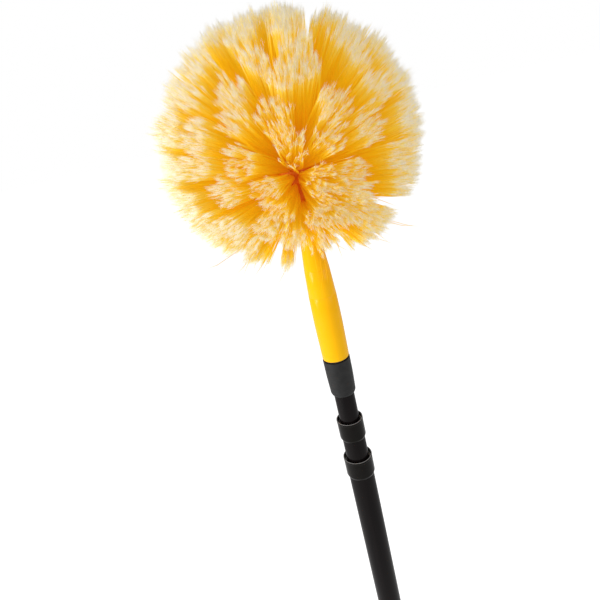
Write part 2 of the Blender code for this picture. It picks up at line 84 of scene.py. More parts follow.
HANG_HOLE_RADIUS = 4.5 * MM
HANG_HOLE_HEIGHT = 14.0 * MM
CAP_PLUG_WALL = 2.0 * MM
RIB_PITCH = 5.0 * MM
RIB_DEPTH = 0.7 * MM
RIB_MARGIN = 4.0 * MM  # plain length at each end of the grip
GRIP_EDGE_INSET = 0.8 * MM

# Socket
SOCKET_WALL = 3.4 * MM
SOCKET_GROOVE = 0.22 * MM
SOCKET_THREAD_DEPTH = 30.0 * MM
SPIGOT_BORE = 5.5 * MM
SPIGOT_BORE_DEPTH = 28.5 * MM
NECK_RADIUS = 8.4 * MM

# Camera, aimed at the pole's axis a little above the ferrule
LENS = 36.0
SENSOR = 36.0
AIM_ABOVE_FERRULE = 63.4 * MM
CAMERA_DISTANCE = 519.5 * MM
CAMERA_DOWN = math.radians(24.5)
CAMERA_ROLL = math.radians(13.4)
AIM_LEFT = 19.5 * MM
AIM_DOWN = 4.2 * MM

# Brush head, the same layout as the CAD rows
ROWS = 12
LAST_ROW_ANGLE = math.radians(150)
TUFT_PITCH = 34.0 * MM
TRIM_RADIUS = 103.0 * MM
TRIM_HALF_HEIGHT = 97.0 * MM
NOSE_ABOVE_CENTRE = 12.0 * MM
HUB_RADIUS = 13.0 * MM
ROOT_GAP = 2.2 * MM
HUB_LENGTH = 70.0 * MM
HUB_FOOT_TO_LAST_ROW = 6.0 * MM
SEED = 7

# Looks
NOISE_LOW, NOISE_HIGH = 0.3, 0.7  # the part of a noise's range that most of a surface has
HIGHLIGHT_FROM, HIGHLIGHT_TO = 0.35, 0.85  # painted highlight: how far a rim faces up the pole
GRAIN_STRENGTH = 0.35
GLOSS_FINER = 2.3  # the gloss changes over shorter lengths than the colour
LIGHT_PASSED = 0.7  # share of the light that goes on through a filament
PASSED_TINT = (1.0, 0.9, 0.6)
BACKLIT = 0.3  # share of a filament's look that is lit from behind
PAINTED_GLOW = 0.27  # painted glow: emission in the filament colour, standing in for light scattered along the clear filaments
SHADE_SHIFT = 0.06  # how far a filament's own shade moves its colours along it

# Studio
KEY_PLACE, KEY_SIZE, KEY_POWER = (-1.9, -0.9, 0.95), 1.1, 36.0
FILL_PLACE, FILL_SIZE, FILL_POWER = (1.6, -1.0, 1.1), 1.4, 8.0
LAMP_TARGET_HEIGHT = 0.75
FLOOR_HALF = 6.0
FLOOR_GREY = 0.85
FLOOR_LIFT = 0.55  # keeps the floor pale to the camera
WORLD_LIGHT = 0.56  # the white background, as the object is lit by it


# ---------------------------------------------------------------- materials


def new_material(name):
    material = bpy.data.materials.new(name)
    material.use_nodes = True
    tree = material.node_tree
    return material, tree, tree.nodes["Principled BSDF"]


def noise(tree, scale, detail, stretch):
    """Noise in object coordinates, with a scale in cells per metre."""
    place = tree.nodes.new("ShaderNodeTexCoord")
    mapping = tree.nodes.new("ShaderNodeMapping")
    mapping.inputs["Scale"].default_value = stretch
    texture = tree.nodes.new("ShaderNodeTexNoise")
    texture.inputs["Scale"].default_value = scale
    texture.inputs["Detail"].default_value = detail
    tree.links.new(place.outputs["Object"], mapping.inputs["Vector"])
    tree.links.new(mapping.outputs["Vector"], texture.inputs["Vector"])
    return texture.outputs["Fac"]


def ramp(tree, factor, stops):
    node = tree.nodes.new("ShaderNodeValToRGB")
    elements = node.color_ramp.elements
    while len(elements) < len(stops):
        elements.new(0.5)
    for element, (position, colour) in zip(elements, stops):
        element.position = position
        element.color = (*colour, 1.0)
    tree.links.new(factor, node.inputs["Fac"])
    return node.outputs["Color"]


def spread(tree, factor, low, high):
    """Maps the middle of a noise onto a range."""
    node = tree.nodes.new("ShaderNodeMapRange")
    node.inputs["From Min"].default_value = NOISE_LOW
    node.inputs["From Max"].default_value = NOISE_HIGH
    node.inputs["To Min"].default_value = low
    node.inputs["To Max"].default_value = high
    tree.links.new(factor, node.inputs["Value"])
    return node.outputs["Result"]


def add_bump(tree, shader, height, distance):
    bump = tree.nodes.new("ShaderNodeBump")
    bump.inputs["Strength"].default_value = GRAIN_STRENGTH
    bump.inputs["Distance"].default_value = distance
    tree.links.new(height, bump.inputs["Height"])
    tree.links.new(bump.outputs["Normal"], shader.inputs["Normal"])


def surface(
    name, dark, light, rough, grain, grain_depth, cells=220.0, metallic=0.0, stretch=(1, 1, 1), specular=0.5
):
    """A moulded or painted surface: slow colour change, uneven gloss, fine grain."""
    material, tree, shader = new_material(name)
    slow = noise(tree, cells, 4.0, stretch)
    tree.links.new(ramp(tree, slow, [(NOISE_LOW, dark), (NOISE_HIGH, light)]), shader.inputs["Base Color"])
    gloss = noise(tree, cells * GLOSS_FINER, 5.0, stretch)
    tree.links.new(spread(tree, gloss, *rough), shader.inputs["Roughness"])
    add_bump(tree, shader, noise(tree, grain, 2.0, stretch), grain_depth)
    shader.inputs["Metallic"].default_value = metallic
    shader.inputs["Specular IOR Level"].default_value = specular
    return material


def painted_highlight_rims(material, highlight_colour):
    """Painted highlight: rims that face up the pole have their colour mixed with a paler one, standing in for
    the light they catch.
    """
    tree = material.node_tree
    shader = next(node for node in tree.nodes if node.type == "BSDF_PRINCIPLED")
    base = shader.inputs["Base Color"].links[0].from_socket
    coordinates = tree.nodes.new("ShaderNodeTexCoord")
    split = tree.nodes.new("ShaderNodeSeparateXYZ")
    tree.links.new(coordinates.outputs["Normal"], split.inputs["Vector"])
    highlight_mask = tree.nodes.new("ShaderNodeMapRange")
    highlight_mask.inputs["From Min"].default_value = HIGHLIGHT_FROM
    highlight_mask.inputs["From Max"].default_value = HIGHLIGHT_TO
    tree.links.new(split.outputs["Z"], highlight_mask.inputs["Value"])
    mix = tree.nodes.new("ShaderNodeMix")
    mix.data_type = "RGBA"
    tree.links.new(highlight_mask.outputs["Result"], mix.inputs["Factor"])
    tree.links.new(base, mix.inputs["A"])
    mix.inputs["B"].default_value = (*highlight_colour, 1.0)
    tree.links.new(mix.outputs["Result"], shader.inputs["Base Color"])


def make_materials():
    made = {}
    made["black"] = surface(
        "black_gloss_plastic", (0.005, 0.004, 0.003), (0.007, 0.006, 0.005), (0.10, 0.16), 1600.0, 0.008 * MM,
        specular=0.09,
    )
    # painted highlight on the rims of the black plastic that face up the pole
    painted_highlight_rims(made["black"], (0.30, 0.29, 0.28))
    made["tube"] = surface(
        "black_tube_paint", (0.004, 0.003, 0.003), (0.007, 0.005, 0.005), (0.12, 0.20), 900.0, 0.006 * MM,
        cells=260.0, stretch=(1.0, 1.0, 0.06), specular=0.10,
    )
    made["grip"] = surface(
        "grip_rubber", (0.014, 0.014, 0.014), (0.030, 0.030, 0.031), (0.62, 0.82), 2600.0, 0.12 * MM
    )
    made["grey"] = surface(
        "charcoal_plastic", (0.010, 0.010, 0.010), (0.017, 0.017, 0.017), (0.42, 0.56), 2200.0, 0.10 * MM,
        specular=0.25,
    )
    made["yellow"] = surface(
        "yellow_gloss_plastic", (1.00, 0.500, 0.001), (1.00, 0.525, 0.002), (0.16, 0.22), 700.0, 0.006 * MM,
        cells=24.0, specular=0.12,
    )
    made["orange"] = surface(
        "orange_plastic", (0.86, 0.24, 0.01), (0.95, 0.33, 0.02), (0.34, 0.48), 1400.0, 0.05 * MM
    )
    made["nylon"] = surface(
        "white_nylon", (0.70, 0.69, 0.64), (0.80, 0.79, 0.75), (0.38, 0.52), 1400.0, 0.04 * MM
    )
    made["brass"] = surface(
        "brass", (0.62, 0.42, 0.15), (0.76, 0.55, 0.24), (0.24, 0.40), 1400.0, 0.03 * MM, metallic=1.0
    )
    made["steel"] = surface(
        "steel", (0.48, 0.48, 0.49), (0.62, 0.62, 0.62), (0.22, 0.38), 1400.0, 0.02 * MM, metallic=1.0
    )
    made["rubber"] = surface(
        "black_rubber", (0.010, 0.010, 0.010), (0.022, 0.022, 0.022), (0.70, 0.85), 1800.0, 0.06 * MM
    )
    made["bristle"] = bristle_material()
    return made


def filament_colour(tree):
    """Colour runs along each filament, from its orange root to its flagged cream tip."""
    strand = tree.nodes.new("ShaderNodeUVMap")
    strand.uv_map = "OFBake"
    split = tree.nodes.new("ShaderNodeSeparateXYZ")
    tree.links.new(strand.outputs["UV"], split.inputs["Vector"])
    shift = tree.nodes.new("ShaderNodeMath")
    shift.operation = "MULTIPLY_ADD"
    shift.inputs[1].default_value = SHADE_SHIFT
    tree.links.new(split.outputs["X"], shift.inputs[0])
    tree.links.new(split.outputs["Y"], shift.inputs[2])
    along = ramp(
        tree,
        shift.outputs["Value"],
        [
            (0.00, (1.00, 0.430, 0.008)),
            (0.18, (1.00, 0.520, 0.008)),
            (0.42, (1.00, 0.640, 0.008)),
            (0.80, (1.00, 0.760, 0.020)),
            (0.93, (1.00, 0.840, 0.140)),
            (0.98, (1.00, 0.980, 0.700)),
            (1.00, (1.00, 0.995, 0.900)),
        ],
    )
    tint = ramp(
        tree,
        split.outputs["X"],
        [(0.0, (1.0, 0.93, 0.85)), (0.5, (1.0, 1.0, 1.0)), (1.0, (0.98, 0.99, 1.0))],
    )
    mix = tree.nodes.new("ShaderNodeMix")
    mix.data_type = "RGBA"
    mix.blend_type = "MULTIPLY"
    mix.inputs["Factor"].default_value = 1.0
    tree.links.new(along, mix.inputs["A"])
    tree.links.new(tint, mix.inputs["B"])
    return mix.outputs["Result"]


def mix_shaders(tree, first, second):
    """A Mix Shader of two shader outputs."""
    node = tree.nodes.new("ShaderNodeMixShader")
    tree.links.new(first, node.inputs[1])
    tree.links.new(second, node.inputs[2])
    return node


def bristle_material():
    """Clear plastic filaments: the camera sees them solid, and other rays partly pass through them."""
    material, tree, shader = new_material("yellow_bristle")
    colour = filament_colour(tree)
    tree.links.new(colour, shader.inputs["Base Color"])
    shader.inputs["Roughness"].default_value = 0.50
    shader.inputs["Specular IOR Level"].default_value = 0.20
    # painted glow: the filaments emit their own colour, which stands in for light scattered inside the bundle
    tree.links.new(colour, shader.inputs["Emission Color"])
    shader.inputs["Emission Strength"].default_value = PAINTED_GLOW
    through = tree.nodes.new("ShaderNodeBsdfTranslucent")
    tree.links.new(colour, through.inputs["Color"])
    both = mix_shaders(tree, shader.outputs["BSDF"], through.outputs["BSDF"])
    both.inputs["Fac"].default_value = BACKLIT
    clear = tree.nodes.new("ShaderNodeBsdfTransparent")
    clear.inputs["Color"].default_value = (*PASSED_TINT, 1.0)
    passed = mix_shaders(tree, both.outputs["Shader"], clear.outputs["BSDF"])
    passed.inputs["Fac"].default_value = LIGHT_PASSED
    path = tree.nodes.new("ShaderNodeLightPath")
    last = mix_shaders(tree, passed.outputs["Shader"], both.outputs["Shader"])
    tree.links.new(path.outputs["Is Camera Ray"], last.inputs["Fac"])
    output = next(node for node in tree.nodes if node.type == "OUTPUT_MATERIAL")
    tree.links.new(last.outputs["Shader"], output.inputs["Surface"])
    return material


# ---------------------------------------------------------------- turned pieces


def link_mesh(name, mesh, material):
    mesh.materials.append(material)
    mesh.shade_smooth()
    mesh.set_sharp_from_angle(angle=SMOOTH_ANGLE)
    obj = bpy.data.objects.new(name, mesh)
    bpy.context.scene.collection.objects.link(obj)
    return obj


def rounded(outline, radius):
    """Rounds the corners of a closed outline of (radius, height) points.

    A point's third value, if it has one, says how much its corner is rounded, 0 for none.
    """
    points = []
    count = len(outline)
    for index, corner in enumerate(outline):
        here = Vector(corner[:2])
        want = corner[2] if len(corner) > 2 else radius
        before = Vector(outline[index - 1][:2]) - here
        after = Vector(outline[(index + 1) % count][:2]) - here
        reach = min(want, before.length * CORNER_SHARE, after.length * CORNER_SHARE)
        if reach <= 0.0 or here.x == 0.0:
            points.append(here)
            continue
        start = here + before.normalized() * reach
        end = here + after.normalized() * reach
        for step in range(CORNER_STEPS + 1):
            t = step / CORNER_STEPS
            points.append(start.lerp(here, t).lerp(here.lerp(end, t), t))
    return points


def lathe(name, outline, material, edge):
    """A closed solid turned about Z from a closed outline. Points on the axis become single points."""
    points = rounded(outline, edge)
    angles = [math.tau * side / ROUND_SIDES for side in range(ROUND_SIDES)]
    vertices = []
    rings = []
    for point in points:
        if point.x == 0.0:
            rings.append([len(vertices)] * ROUND_SIDES)
            vertices.append((0.0, 0.0, point.y))
        else:
            rings.append(list(range(len(vertices), len(vertices) + ROUND_SIDES)))
            vertices.extend((point.x * math.cos(a), point.x * math.sin(a), point.y) for a in angles)
    faces = []
    for index, ring in enumerate(rings):
        following = rings[(index + 1) % len(rings)]
        if ring[0] == ring[1] and following[0] == following[1]:
            continue
        for side in range(ROUND_SIDES):
            other = (side + 1) % ROUND_SIDES
            face = [ring[side], ring[other], following[other], following[side]]
            faces.append(tuple(dict.fromkeys(face)))
    mesh = bpy.data.meshes.new(name)
    mesh.from_pydata(vertices, [], faces)
    mesh.validate()
    return link_mesh(name, mesh, material)


def stand_for(piece, node, body):
    """The piece takes the CAD node's place on its body."""
    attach(piece, body)
    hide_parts(node)


def span(node):
    """Radius, foot and top of a CAD node that is round about the pole's axis."""
    low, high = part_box(node)
    return high.x, low.z, high.z


def make_tube(node, body, materials):
    radius, foot, top = span(node)
    bore = radius - TUBE_WALL
    outline = [(bore, foot), (radius, foot), (radius, top), (bore, top)]
    piece = lathe(f"{node}_painted", outline, materials["tube"], edge=0.2 * MM)
    stand_for(piece, node, body)


def make_collar(node, guided, body, materials):
    radius, foot, top = span(node)
    guide = span(guided)[0] + RUNNING
    skirt = radius - COLLAR_WALL
    shoulder = foot + COLLAR_SHOULDER_HEIGHT
    cup = shoulder + COLLAR_SHOULDER
    mouth = radius - COLLAR_LIP
    side = radius - COLLAR_INSET
    outline = [
        (skirt, foot),
        (skirt + 0.4 * MM, foot),
        (side, foot + 2.2 * MM),
        (side, top - 2.6 * MM, 0.2 * MM),
        (radius, top - 2.2 * MM, 0.2 * MM),
        (radius, top),
        (mouth, top),
        (mouth, cup),
        (guide, cup),
        (guide, shoulder),
        (skirt, shoulder, 0.0),
    ]
    piece = lathe(f"{node}_moulded", outline, materials["black"], edge=0.35 * MM)
    stand_for(piece, node, body)


def thread_rise(height, side, first, last):
    """How far the thread stands out, as a share of its depth. It fades out at both ends."""
    turn = (height / THREAD_PITCH - side / ROUND_SIDES) % 1.0
    crest = min(max((0.5 - abs(turn - 0.5)) * THREAD_SLOPE - THREAD_ROOT, 0.0), 1.0)
    fade = min((height - first) / THREAD_PITCH, (last - height) / THREAD_PITCH, 1.0)
    return crest * max(fade, 0.0)


def make_threaded_tip(materials):
    """The plug in the tube and the right-handed thread above it."""
    radius, foot, top = span("threaded_tip")
    tube_radius, _, tube_top = span("inner_tube")
    plug = tube_radius - PLUG_INSET
    shoulder = tube_top + TOUCH
    root = radius - THREAD_DEPTH
    first = top - THREAD_START_BELOW
    last = top - THREAD_END_BELOW
    levels = [
        (plug - TIP_CHAMFER, foot),
        (plug, foot + TIP_CHAMFER),
        (plug, shoulder),
        (root, shoulder),
    ]
    count = int((last - first) / THREAD_PITCH * THREAD_STEPS)
    levels += [(None, first + (last - first) * index / count) for index in range(count + 1)]
    levels += [(root, last + THREAD_RUN_OUT), (root - THREAD_TOP_CHAMFER, top)]
    vertices = []
    for wide, height in levels:
        for side in range(ROUND_SIDES):
            angle = math.tau * side / ROUND_SIDES
            here = wide
            if here is None:
                here = root + THREAD_DEPTH * thread_rise(height, side, first, last)
            vertices.append((here * math.cos(angle), here * math.sin(angle), height))
    faces = []
    for ring in range(len(levels) - 1):
        base = ring * ROUND_SIDES
        above = base + ROUND_SIDES
        for side in range(ROUND_SIDES):
            other = (side + 1) % ROUND_SIDES
            faces.append((base + side, base + other, above + other, above + side))
    faces.append(tuple(range(ROUND_SIDES - 1, -1, -1)))
    base = (len(levels) - 1) * ROUND_SIDES
    faces.append(tuple(range(base, base + ROUND_SIDES)))
    mesh = bpy.data.meshes.new("threaded_tip_turned")
    mesh.from_pydata(vertices, [], faces)
    piece = link_mesh("threaded_tip_turned", mesh, materials["grey"])
    stand_for(piece, "threaded_tip", "inner_section")


def make_end_cap(materials):
    """The cap on the tube's foot, with the hole it hangs by bored through it."""
    radius, foot, top = span("end_cap")
    tube_radius, tube_foot, _ = span("outer_tube")
    plug = tube_radius - PLUG_INSET
    hollow = plug - CAP_PLUG_WALL
    rim = tube_foot - TOUCH
    outline = [
        (0.0, foot),
        (radius - 1.1 * MM, foot, 2.0 * MM),
        (radius, foot + 9.0 * MM, 4.0 * MM),
        (radius, rim, 1.6 * MM),
        (plug, rim, 0.0),
        (plug, top, 0.6 * MM),
        (hollow, top, 0.3 * MM),
        (hollow, rim, 0.6 * MM),
        (0.0, rim),
    ]
    cap = lathe("end_cap_moulded", outline, materials["black"], edge=0.5 * MM)
    bpy.ops.mesh.primitive_cylinder_add(
        vertices=ROUND_SIDES // 2,
        radius=HANG_HOLE_RADIUS,
        depth=radius * 4,
        location=(0.0, 0.0, foot + HANG_HOLE_HEIGHT),
        rotation=(0.0, math.pi / 2, 0.0),
    )
    drill = bpy.context.object
    cut = cap.modifiers.new("hang_hole", "BOOLEAN")
    cut.operation = "DIFFERENCE"
    cut.object = drill
    whole = bpy.data.meshes.new_from_object(cap.evaluated_get(bpy.context.evaluated_depsgraph_get()))
    cap.modifiers.clear()
    cap.data = whole
    bpy.data.objects.remove(drill)
    whole.shade_smooth()
    whole.set_sharp_from_angle(angle=SMOOTH_ANGLE)
    stand_for(cap, "end_cap", "handle")


def make_ferrule(materials):
    radius, foot, top = span("tip_ferrule")
    bore = span("threaded_tip")[0] + TOUCH
    outline = [
        (bore, foot),
        (bore + FERRULE_TOE, foot),
        (radius - FERRULE_TAPER, foot + FERRULE_CHAMFER, 0.6 * MM),
        (radius - FERRULE_BULGE_INSET, foot + FERRULE_BULGE_HEIGHT, 4.0 * MM),
        (radius, top),
        (bore, top),
    ]
    piece = lathe("tip_ferrule_moulded", outline, materials["grey"], edge=0.3 * MM)
    stand_for(piece, "tip_ferrule", "inner_section")


def make_socket(materials):
    radius, foot, top = span("head_socket")
    thread = span("threaded_tip")[0] + RUNNING
    bore = radius - SOCKET_WALL
    outline = [
        (thread, foot),
        (radius - 0.45 * MM, foot, 0.7 * MM),
        (radius - 0.25 * MM, foot + 15.0 * MM, 5.0 * MM),
        (radius, foot + 36.0 * MM, 8.0 * MM),
        (radius - 0.5 * MM, foot + 63.2 * MM, 0.0),
        (radius - 0.5 * MM - SOCKET_GROOVE, foot + 63.7 * MM, 0.0),
        (radius - 0.6 * MM, foot + 64.2 * MM, 0.0),
        (radius - 1.75 * MM, foot + 88.0 * MM, 0.0),
        (radius - 1.80 * MM - SOCKET_GROOVE, foot + 88.5 * MM, 0.0),
        (radius - 1.85 * MM, foot + 89.0 * MM, 3.0 * MM),
        (NECK_RADIUS + 0.35 * MM, foot + 113.0 * MM, 5.0 * MM),
        (NECK_RADIUS, foot + 122.0 * MM, 4.0 * MM),
        (NECK_RADIUS, top, 0.8 * MM),
        (SPIGOT_BORE, top),
        (SPIGOT_BORE, top - SPIGOT_BORE_DEPTH),
        (bore, foot + 64.0 * MM),
        (bore, foot + 31.0 * MM),
        (thread, foot + SOCKET_THREAD_DEPTH),
    ]
    piece = lathe("head_socket_moulded", outline, materials["yellow"], edge=0.3 * MM)
    stand_for(piece, "head_socket", "head")


def make_grip(materials):
    radius, foot, top = span("hand_grip")
    bore = span("outer_tube")[0] + TOUCH
    valley = radius - RIB_DEPTH
    outline = [(bore, foot), (radius - GRIP_EDGE_INSET, foot)]
    count = int((top - foot - 2 * RIB_MARGIN) / RIB_PITCH)
    for index in range(count):
        base = foot + RIB_MARGIN + index * RIB_PITCH
        outline += [
            (valley, base + 0.6 * MM, 0.5 * MM),
            (radius, base + 1.6 * MM, 0.6 * MM),
            (radius, base + 4.0 * MM, 0.6 * MM),
            (valley, base + 5.0 * MM, 0.5 * MM),
        ]
    outline += [(radius - GRIP_EDGE_INSET, top), (bore, top)]
    piece = lathe("hand_grip_ribbed", outline, materials["grip"], edge=0.5 * MM)
    stand_for(piece, "hand_grip", "handle")


def make_washer(materials):
    radius, foot, top = span("seat_washer")
    bore = span("threaded_tip")[0] + RUNNING
    outline = [(bore, foot), (radius, foot), (radius, top), (bore, top)]
    piece = lathe("seat_washer_rubber", outline, materials["rubber"], edge=0.2 * MM)
    stand_for(piece, "seat_washer", "washer")


# ---------------------------------------------------------------- bristles

FILAMENTS_PER_TUFT = 230
CLUMP_SIZE = 5  # filaments that keep together
TUFT_FAN = 12.0 * MM
TUFT_FAN_RANGE = (0.82, 1.12)
CLUMP_FAN = 0.8 * MM
ROOT_BUNDLE = 1.9 * MM
ROOT_SUNK = 1.5 * MM
FILAMENT_RADIUS = 0.19 * MM
FILAMENT_SIDES = 3
FLAG_RADIUS = 0.12 * MM
FLAG_START = 0.88  # where a filament splits, as a share of its length
FLAG_COLOUR_START = FLAG_START + 0.04
FLAG_SPLIT_RANGE = 0.5  # how far past that a branch may start, as a share of the rest
FLAG_SHORTER = 3.0 * MM
FLAGS = 2
FLAG_FAN = 0.9 * MM

# Spread of each tuft's root and tip about its place in the rows, in radians
ROOT_TURN = 0.035
TIP_TURN = 0.05
TIP_TILT = 0.03

# Trimming and bending, as spreads about the trimmed ball and the straight line
TUFT_TRIM, TUFT_TRIM_SPREAD = -1.0 * MM, 1.0 * MM
CLUMP_TRIM_SPREAD = 2.3 * MM
FILAMENT_TRIM_SPREAD = 1.1 * MM
CLUMP_BOW = 1.6 * MM
FILAMENT_BOW = 0.4 * MM
BOW_AT_FLAG = 0.35  # share of the bow that is left where the filament splits

# Tufts beside the socket lean apart. Groups are bounded by the direction a tuft faces, in degrees to the
# right of the camera's side of the pole.
REAR_PARTING = math.radians(128)
FRONT_GROUP = (-30.0, 12.0)
RIGHT_GROUP_END = 60.0
LEFT_GROUP_END = -60.0
BESIDE_GROUP = (-75.0, -40.0)
FRONT_LIFT = math.radians(24.0)
RIGHT_LIFT, RIGHT_TURN = math.radians(8.0), math.radians(10.0)
LEFT_DROP, LEFT_TURN, LEFT_WIDTH = math.radians(1.0), math.radians(8.0), 0.45
BESIDE_TURN = math.radians(14.0)
FAR_RIGHT_DROP = math.radians(4.0)
NEXT_ROW_LIFT = math.radians(9.0)
NEXT_ROW_ABOVE = math.radians(16.0)
BESIDE_ROW_ABOVE = math.radians(8.0)

# Narrow gap between the tufts at the top of the ball
TOP_PARTING_X = 34.0 * MM
TOP_PARTING_HALF = 18.0 * MM
TOP_PARTING_END = math.radians(66)

# Single filaments that stand out of the ball
STRAYS = 110
STRAY_REACH = 26.0 * MM
STRAY_REACH_RANGE = (0.2, 1.0)
STRAY_FRONT_SHARE = 0.2  # of that reach, for strays away from the socket
STRAY_BACK_ROWS = 5
STRAY_BACK_CHANCE = 0.8
STRAY_FIRST_ROW = 2
STRAY_TURN, STRAY_TILT = 0.22, 0.16
STRAY_LAST_ANGLE = math.radians(158)
STRAY_BACK_ANGLE = math.radians(125)
STRAY_PAST_TRIM = 5.0 * MM
STRAY_BOW = 3.0 * MM
STRAY_THICKER = 1.2
STRAY_MIDDLE, STRAY_LATER = 0.35, 0.45  # shape of the bend between a stray's middle and its end


def tuft_layout():
    """Row by row: root and tip of each tuft, from the head's centre."""
    offset = HUB_RADIUS + ROOT_GAP
    straight = HUB_LENGTH - HUB_RADIUS - HUB_FOOT_TO_LAST_ROW
    quarter = offset * math.pi / 2
    dome = NOSE_ABOVE_CENTRE - HUB_RADIUS
    rows = []
    for row in range(ROWS):
        share = row / (ROWS - 1)
        distance = share * (quarter + straight)
        if distance <= quarter:
            turn = distance / offset
            radius, height = offset * math.sin(turn), dome + offset * math.cos(turn)
        else:
            radius, height = offset, dome - (distance - quarter)
        angle = share * LAST_ROW_ANGLE
        tip_radius = TRIM_RADIUS * math.sin(angle)
        count = max(1, round(math.tau * tip_radius / TUFT_PITCH))
        tufts = []
        for index in range(count):
            around = math.tau * (index + 0.5 * (row % 2)) / count
            tufts.append((around, radius, height, angle))
        rows.append(tufts)
    return rows


def unit(vectors):
    return vectors / np.linalg.norm(vectors, axis=-1, keepdims=True)


def to_trim(origin, direction, allowance):
    """Distance from the origin, along each direction, to the trimmed ball grown by an allowance."""
    shape = np.array([TRIM_RADIUS, TRIM_RADIUS, TRIM_HALF_HEIGHT])
    scaled = shape[None, :] + allowance[:, None]
    o = origin / scaled
    d = direction / scaled
    a = (d * d).sum(1)
    b = (o * d).sum(1)
    c = (o * o).sum(1) - 1.0
    return (-b + np.sqrt(np.maximum(b * b - a * c, 0.0))) / a


def sides_of(direction):
    """Two directions across each direction."""
    steep = np.abs(direction[:, 2:3]) >= 0.9
    helper = np.where(steep, np.array([[1.0, 0.0, 0.0]]), np.array([[0.0, 0.0, 1.0]]))
    first = unit(np.cross(direction, helper))
    return first, np.cross(direction, first)


def parted(around, polar):
    """Where a tuft's tip really points, and how wide it fans. The back tufts lean apart around the socket."""
    facing = math.degrees(math.atan2(math.cos(around), -math.sin(around)))
    right = max(math.cos(around), 0.0)
    width = 1.0
    if polar > REAR_PARTING:
        polar += FAR_RIGHT_DROP * right
        if FRONT_GROUP[0] < facing < FRONT_GROUP[1]:
            polar -= FRONT_LIFT
        elif FRONT_GROUP[1] <= facing < RIGHT_GROUP_END:
            polar -= RIGHT_LIFT
            around += RIGHT_TURN
        elif LEFT_GROUP_END < facing <= FRONT_GROUP[0]:
            polar += LEFT_DROP
            around += LEFT_TURN
            width = LEFT_WIDTH
    elif polar > REAR_PARTING - NEXT_ROW_ABOVE:
        polar -= NEXT_ROW_LIFT * right
    beside = BESIDE_GROUP[0] < facing < BESIDE_GROUP[1] and width == 1.0
    if beside and polar > REAR_PARTING - BESIDE_ROW_ABOVE:
        around -= BESIDE_TURN
    return around, polar, width


def top_parting(centre, polar):
    """Opens the narrow gap between the tufts at the top of the ball."""
    if polar < TOP_PARTING_END:
        away = centre[0] - TOP_PARTING_X
        if abs(away) < TOP_PARTING_HALF:
            centre[0] = TOP_PARTING_X + math.copysign(TOP_PARTING_HALF, away)
    return centre


def tuft_strands(tuft, rng):
    """Centre lines of a tuft's filaments, as arrays of points from root to tip."""
    around, radius, height, polar = tuft
    around += rng.normal(0.0, ROOT_TURN)
    root = np.array([radius * math.cos(around), radius * math.sin(around), height])
    tip_turn = around + rng.normal(0.0, TIP_TURN)
    tip_turn, polar, width = parted(tip_turn, polar + rng.normal(0.0, TIP_TILT))
    tip_radius = TRIM_RADIUS * math.sin(polar)
    centre = np.array([
        tip_radius * math.cos(tip_turn),
        tip_radius * math.sin(tip_turn),
        TRIM_HALF_HEIGHT * math.cos(polar),
    ])
    centre = top_parting(centre, polar)
    fan = TUFT_FAN * rng.uniform(*TUFT_FAN_RANGE) * width
    clumps = FILAMENTS_PER_TUFT // CLUMP_SIZE
    spread_radius = np.sqrt(rng.uniform(0.0, 1.0, clumps)) * fan
    spread_angle = rng.uniform(0.0, math.tau, clumps)
    main = unit((centre - root)[None, :])
    first, second = sides_of(main)
    targets = (
        centre[None, :]
        + first * (spread_radius * np.cos(spread_angle))[:, None]
        + second * (spread_radius * np.sin(spread_angle))[:, None]
    )
    owner = np.repeat(np.arange(clumps), CLUMP_SIZE)
    count = len(owner)
    within = rng.normal(0.0, CLUMP_FAN, (count, 2))
    goal = targets[owner] + first * within[:, 0:1] + second * within[:, 1:2]
    packing = np.clip(spread_radius / fan, 0.0, 1.0)[owner]
    start = (
        root[None, :]
        + first * (ROOT_BUNDLE * packing * np.cos(spread_angle[owner]))[:, None]
        + second * (ROOT_BUNDLE * packing * np.sin(spread_angle[owner]))[:, None]
        - main * ROOT_SUNK
    )
    direction = unit(goal - start)
    trim = rng.normal(TUFT_TRIM, TUFT_TRIM_SPREAD, 1) + rng.normal(0.0, CLUMP_TRIM_SPREAD, clumps)[owner]
    trim = trim + rng.normal(0.0, FILAMENT_TRIM_SPREAD, count)
    length = to_trim(start, direction, trim)
    end = start + direction * length[:, None]
    side_a, side_b = sides_of(direction)
    bow = rng.normal(0.0, CLUMP_BOW, (clumps, 2))[owner] + rng.normal(0.0, FILAMENT_BOW, (count, 2))
    bend = side_a * bow[:, 0:1] + side_b * bow[:, 1:2]
    middle = start + direction * (length * 0.5)[:, None] + bend
    flag = start + direction * (length * FLAG_START)[:, None] + bend * BOW_AT_FLAG
    return start, middle, flag, end


def filaments(paths, stations, radii, ids):
    """Three-sided filaments along the paths: their corners, faces, places along the filament and ids.

    paths is (count, stations, 3), and its last station is a point.
    """
    count, steps, _ = paths.shape
    sides = FILAMENT_SIDES
    direction = unit(paths[:, -1] - paths[:, 0])
    a, b = sides_of(direction)
    turned = np.arange(sides) * math.tau / sides
    ring = a[:, None, :] * np.cos(turned)[None, :, None] + b[:, None, :] * np.sin(turned)[None, :, None]
    body = paths[:, :-1, None, :] + ring[:, None, :, :] * radii[None, :-1, None, None]
    per = (steps - 1) * sides + 1
    vertices = np.empty((count, per, 3))
    vertices[:, :-1] = body.reshape(count, -1, 3)
    vertices[:, -1] = paths[:, -1]
    quads = []
    quad_v = []
    for step in range(steps - 2):
        low, high = step * sides, (step + 1) * sides
        for side in range(sides):
            other = (side + 1) % sides
            quads.append([low + side, low + other, high + other, high + side])
            quad_v.append([stations[step], stations[step], stations[step + 1], stations[step + 1]])
    last = (steps - 2) * sides
    tris = [[2, 1, 0]]
    tri_v = [[stations[0]] * 3]
    for side in range(sides):
        tris.append([last + side, last + (side + 1) % sides, per - 1])
        tri_v.append([stations[-2], stations[-2], stations[-1]])
    quads, quad_v = (np.array(table).reshape(-1, 4) for table in (quads, quad_v))
    return vertices, quads, quad_v, np.array(tris), np.array(tri_v), per, ids


